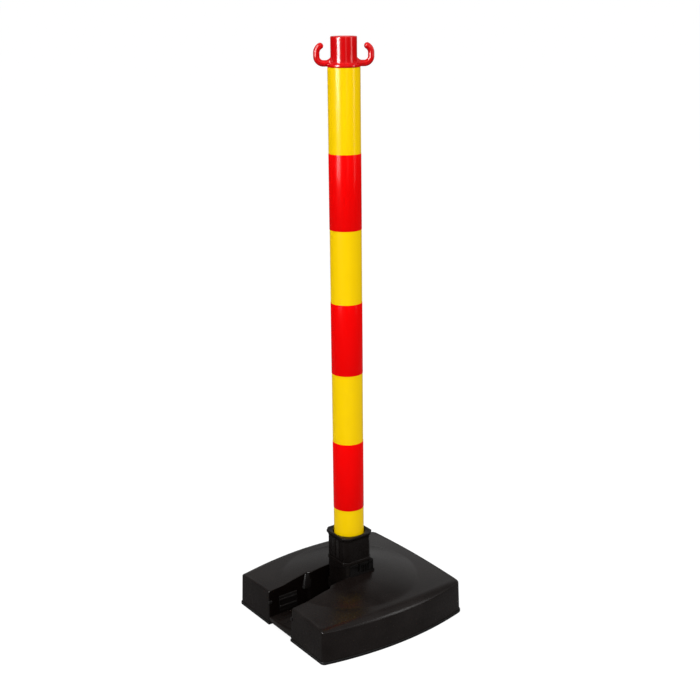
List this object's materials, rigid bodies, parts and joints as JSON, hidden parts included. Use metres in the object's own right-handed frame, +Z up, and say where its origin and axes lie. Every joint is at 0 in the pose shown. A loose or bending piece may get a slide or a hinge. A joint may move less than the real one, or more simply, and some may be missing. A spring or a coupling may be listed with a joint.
{
  "type": "delineator post",
  "caption": "Folding delineator post: striped tube in a hinged collar on a slotted ballasted base, with a turning cap carrying chain hooks.",
  "frame": {"origin": "centre of the base's footprint, on the ground; the post's axis stands 1 mm in front of it, at y = -0.001", "axes": "+Z up along the standing post, -Y toward the slot's open mouth and the side the post folds down to, +X along the hinge pin"},
  "size_m": [0.289, 0.29, 0.951],
  "materials": {
    "black_plastic": "satin moulded, fine grain",
    "collar_plastic": "semi-gloss moulded",
    "yellow_pvc": "semi-gloss extruded",
    "red_film": "smooth adhesive film",
    "red_plastic": "glossy moulded",
    "concrete": "rough cast",
    "zinc_steel": "zinc plated"
  },
  "bodies": {
    "base": {"base_shell": "black_plastic", "bottom_tray": "black_plastic", "ballast_block": "concrete", "hinge_pin": "zinc_steel", "pin_clip_left": "zinc_steel", "pin_clip_right": "zinc_steel", "tray_screw_1": "zinc_steel", "tray_screw_2": "zinc_steel", "tray_screw_3": "zinc_steel", "tray_screw_4": "zinc_steel", "tray_screw_5": "zinc_steel", "tray_screw_6": "zinc_steel"},
    "post": {"pivot_knuckle": "collar_plastic", "socket_collar": "collar_plastic", "socket_screw_1": "zinc_steel", "socket_screw_2": "zinc_steel", "post_tube": "yellow_pvc", "red_band_lower": "red_film", "red_band_middle": "red_film", "red_band_upper": "red_film"},
    "cap": {"hook_cap": "red_plastic"}
  },
  "joints": [
    {"name": "post_fold", "type": "hinge", "parent": "base", "child": "post", "pos_m": [0, -0.001, 0.048], "axis": [1, 0, 0], "range_deg": [0, 90]},
    {"name": "cap_turn", "type": "hinge", "parent": "post", "child": "cap", "pos_m": [0, -0.001, 0.9065], "axis": [0, 0, 1], "continuous": true}
  ]
}
